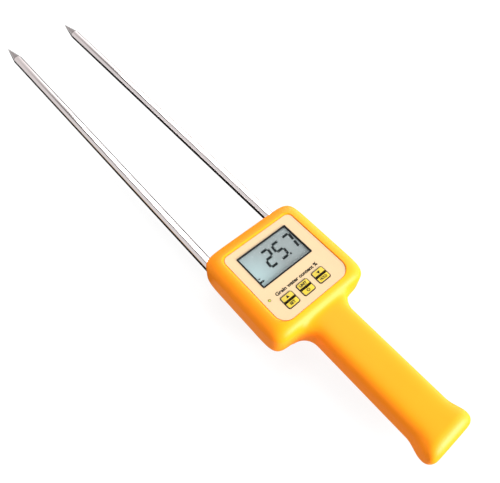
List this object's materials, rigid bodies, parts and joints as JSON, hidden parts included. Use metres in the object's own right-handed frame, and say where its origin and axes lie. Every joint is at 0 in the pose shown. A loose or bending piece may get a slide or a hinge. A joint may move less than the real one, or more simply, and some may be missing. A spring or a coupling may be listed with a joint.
{
  "type": "grain moisture meter",
  "caption": "Hand-held grain moisture meter: rounded plastic head with display and keys on a plain handle, and two long parallel pointed steel probes.",
  "frame": {"origin": "centre of the bounding box's bottom face, on the surface that the meter's back rests on", "axes": "+Y along the probes towards their tips, +X to the reader's right, +Z out of the display face"},
  "size_m": [0.075, 0.465, 0.035],
  "materials": {
    "orange_plastic": "satin moulded ABS",
    "cream_print": "matt printed polycarbonate film",
    "black_plastic": "satin black",
    "clear_plastic": "clear acrylic",
    "display_glass": "grey-green liquid crystal glass",
    "white_plastic": "white moulded plastic",
    "contact_rubber": "striped silicone",
    "board_laminate": "green solder mask",
    "yellow_key": "satin yellow with dark legends",
    "probe_steel": "ground stainless steel",
    "screw_steel": "zinc plated steel",
    "brass": "tinned brass",
    "lamp_lens": "olive tinted lens",
    "battery_case": "printed metal can",
    "capacitor_sleeve": "shrink sleeve",
    "foam_pad": "closed-cell foam",
    "red_wire": "red insulation",
    "black_wire": "black insulation"
  },
  "bodies": {
    "meter_body": {"front_housing": "orange_plastic", "rear_housing": "orange_plastic", "fascia_panel": "cream_print", "display_frame": "black_plastic", "controller_chip": "black_plastic", "battery_clip": "black_plastic", "switch_up": "black_plastic", "switch_set": "black_plastic", "switch_unit": "black_plastic", "switch_power": "black_plastic", "switch_down": "black_plastic", "switch_hold": "black_plastic", "display_window": "clear_plastic", "status_led": "clear_plastic", "lcd_glass": "display_glass", "lcd_holder": "white_plastic", "lcd_reflector": "white_plastic", "probe_holder_left": "white_plastic", "probe_holder_right": "white_plastic", "contact_strip_upper": "contact_rubber", "contact_strip_lower": "contact_rubber", "circuit_board": "board_laminate", "probe_left": "probe_steel", "probe_right": "probe_steel", "probe_tip_left": "probe_steel", "probe_tip_right": "probe_steel", "housing_screw_1": "screw_steel", "housing_screw_2": "screw_steel", "housing_screw_3": "screw_steel", "housing_screw_4": "screw_steel", "housing_screw_5": "screw_steel", "housing_screw_6": "screw_steel", "board_screw_1": "screw_steel", "board_screw_2": "screw_steel", "board_screw_3": "screw_steel", "board_screw_4": "screw_steel", "terminal_screw_left": "screw_steel", "terminal_screw_right": "screw_steel", "crystal": "screw_steel", "probe_plug_left": "brass", "probe_plug_right": "brass", "ring_terminal_left": "brass", "ring_terminal_right": "brass", "indicator_lens": "lamp_lens", "battery": "battery_case", "capacitor": "capacitor_sleeve", "battery_foam": "foam_pad", "battery_lead_red": "red_wire", "battery_lead_black": "black_wire", "probe_lead_left": "black_wire", "probe_lead_right": "black_wire"},
    "up_key": {"key_up": "yellow_key"},
    "set_key": {"key_set": "yellow_key"},
    "unit_key": {"key_unit": "yellow_key"},
    "power_key": {"key_power": "yellow_key"},
    "down_key": {"key_down": "yellow_key"},
    "hold_key": {"key_hold": "yellow_key"},
    "door": {"battery_door": "orange_plastic"}
  },
  "joints": [
    {"name": "up_key_press", "type": "slide", "parent": "meter_body", "child": "up_key", "axis": [0, 0, -1], "range_m": [0, 0.0004], "stiffness_N_per_m": 3000},
    {"name": "set_key_press", "type": "slide", "parent": "meter_body", "child": "set_key", "axis": [0, 0, -1], "range_m": [0, 0.0004], "stiffness_N_per_m": 3000},
    {"name": "unit_key_press", "type": "slide", "parent": "meter_body", "child": "unit_key", "axis": [0, 0, -1], "range_m": [0, 0.0004], "stiffness_N_per_m": 3000},
    {"name": "power_key_press", "type": "slide", "parent": "meter_body", "child": "power_key", "axis": [0, 0, -1], "range_m": [0, 0.0004], "stiffness_N_per_m": 3000},
    {"name": "down_key_press", "type": "slide", "parent": "meter_body", "child": "down_key", "axis": [0, 0, -1], "range_m": [0, 0.0004], "stiffness_N_per_m": 3000},
    {"name": "hold_key_press", "type": "slide", "parent": "meter_body", "child": "hold_key", "axis": [0, 0, -1], "range_m": [0, 0.0004], "stiffness_N_per_m": 3000},
    {"name": "door_lift_off", "type": "slide", "parent": "meter_body", "child": "door", "axis": [0, 0, -1], "range_m": [0, 0.03]}
  ]
}
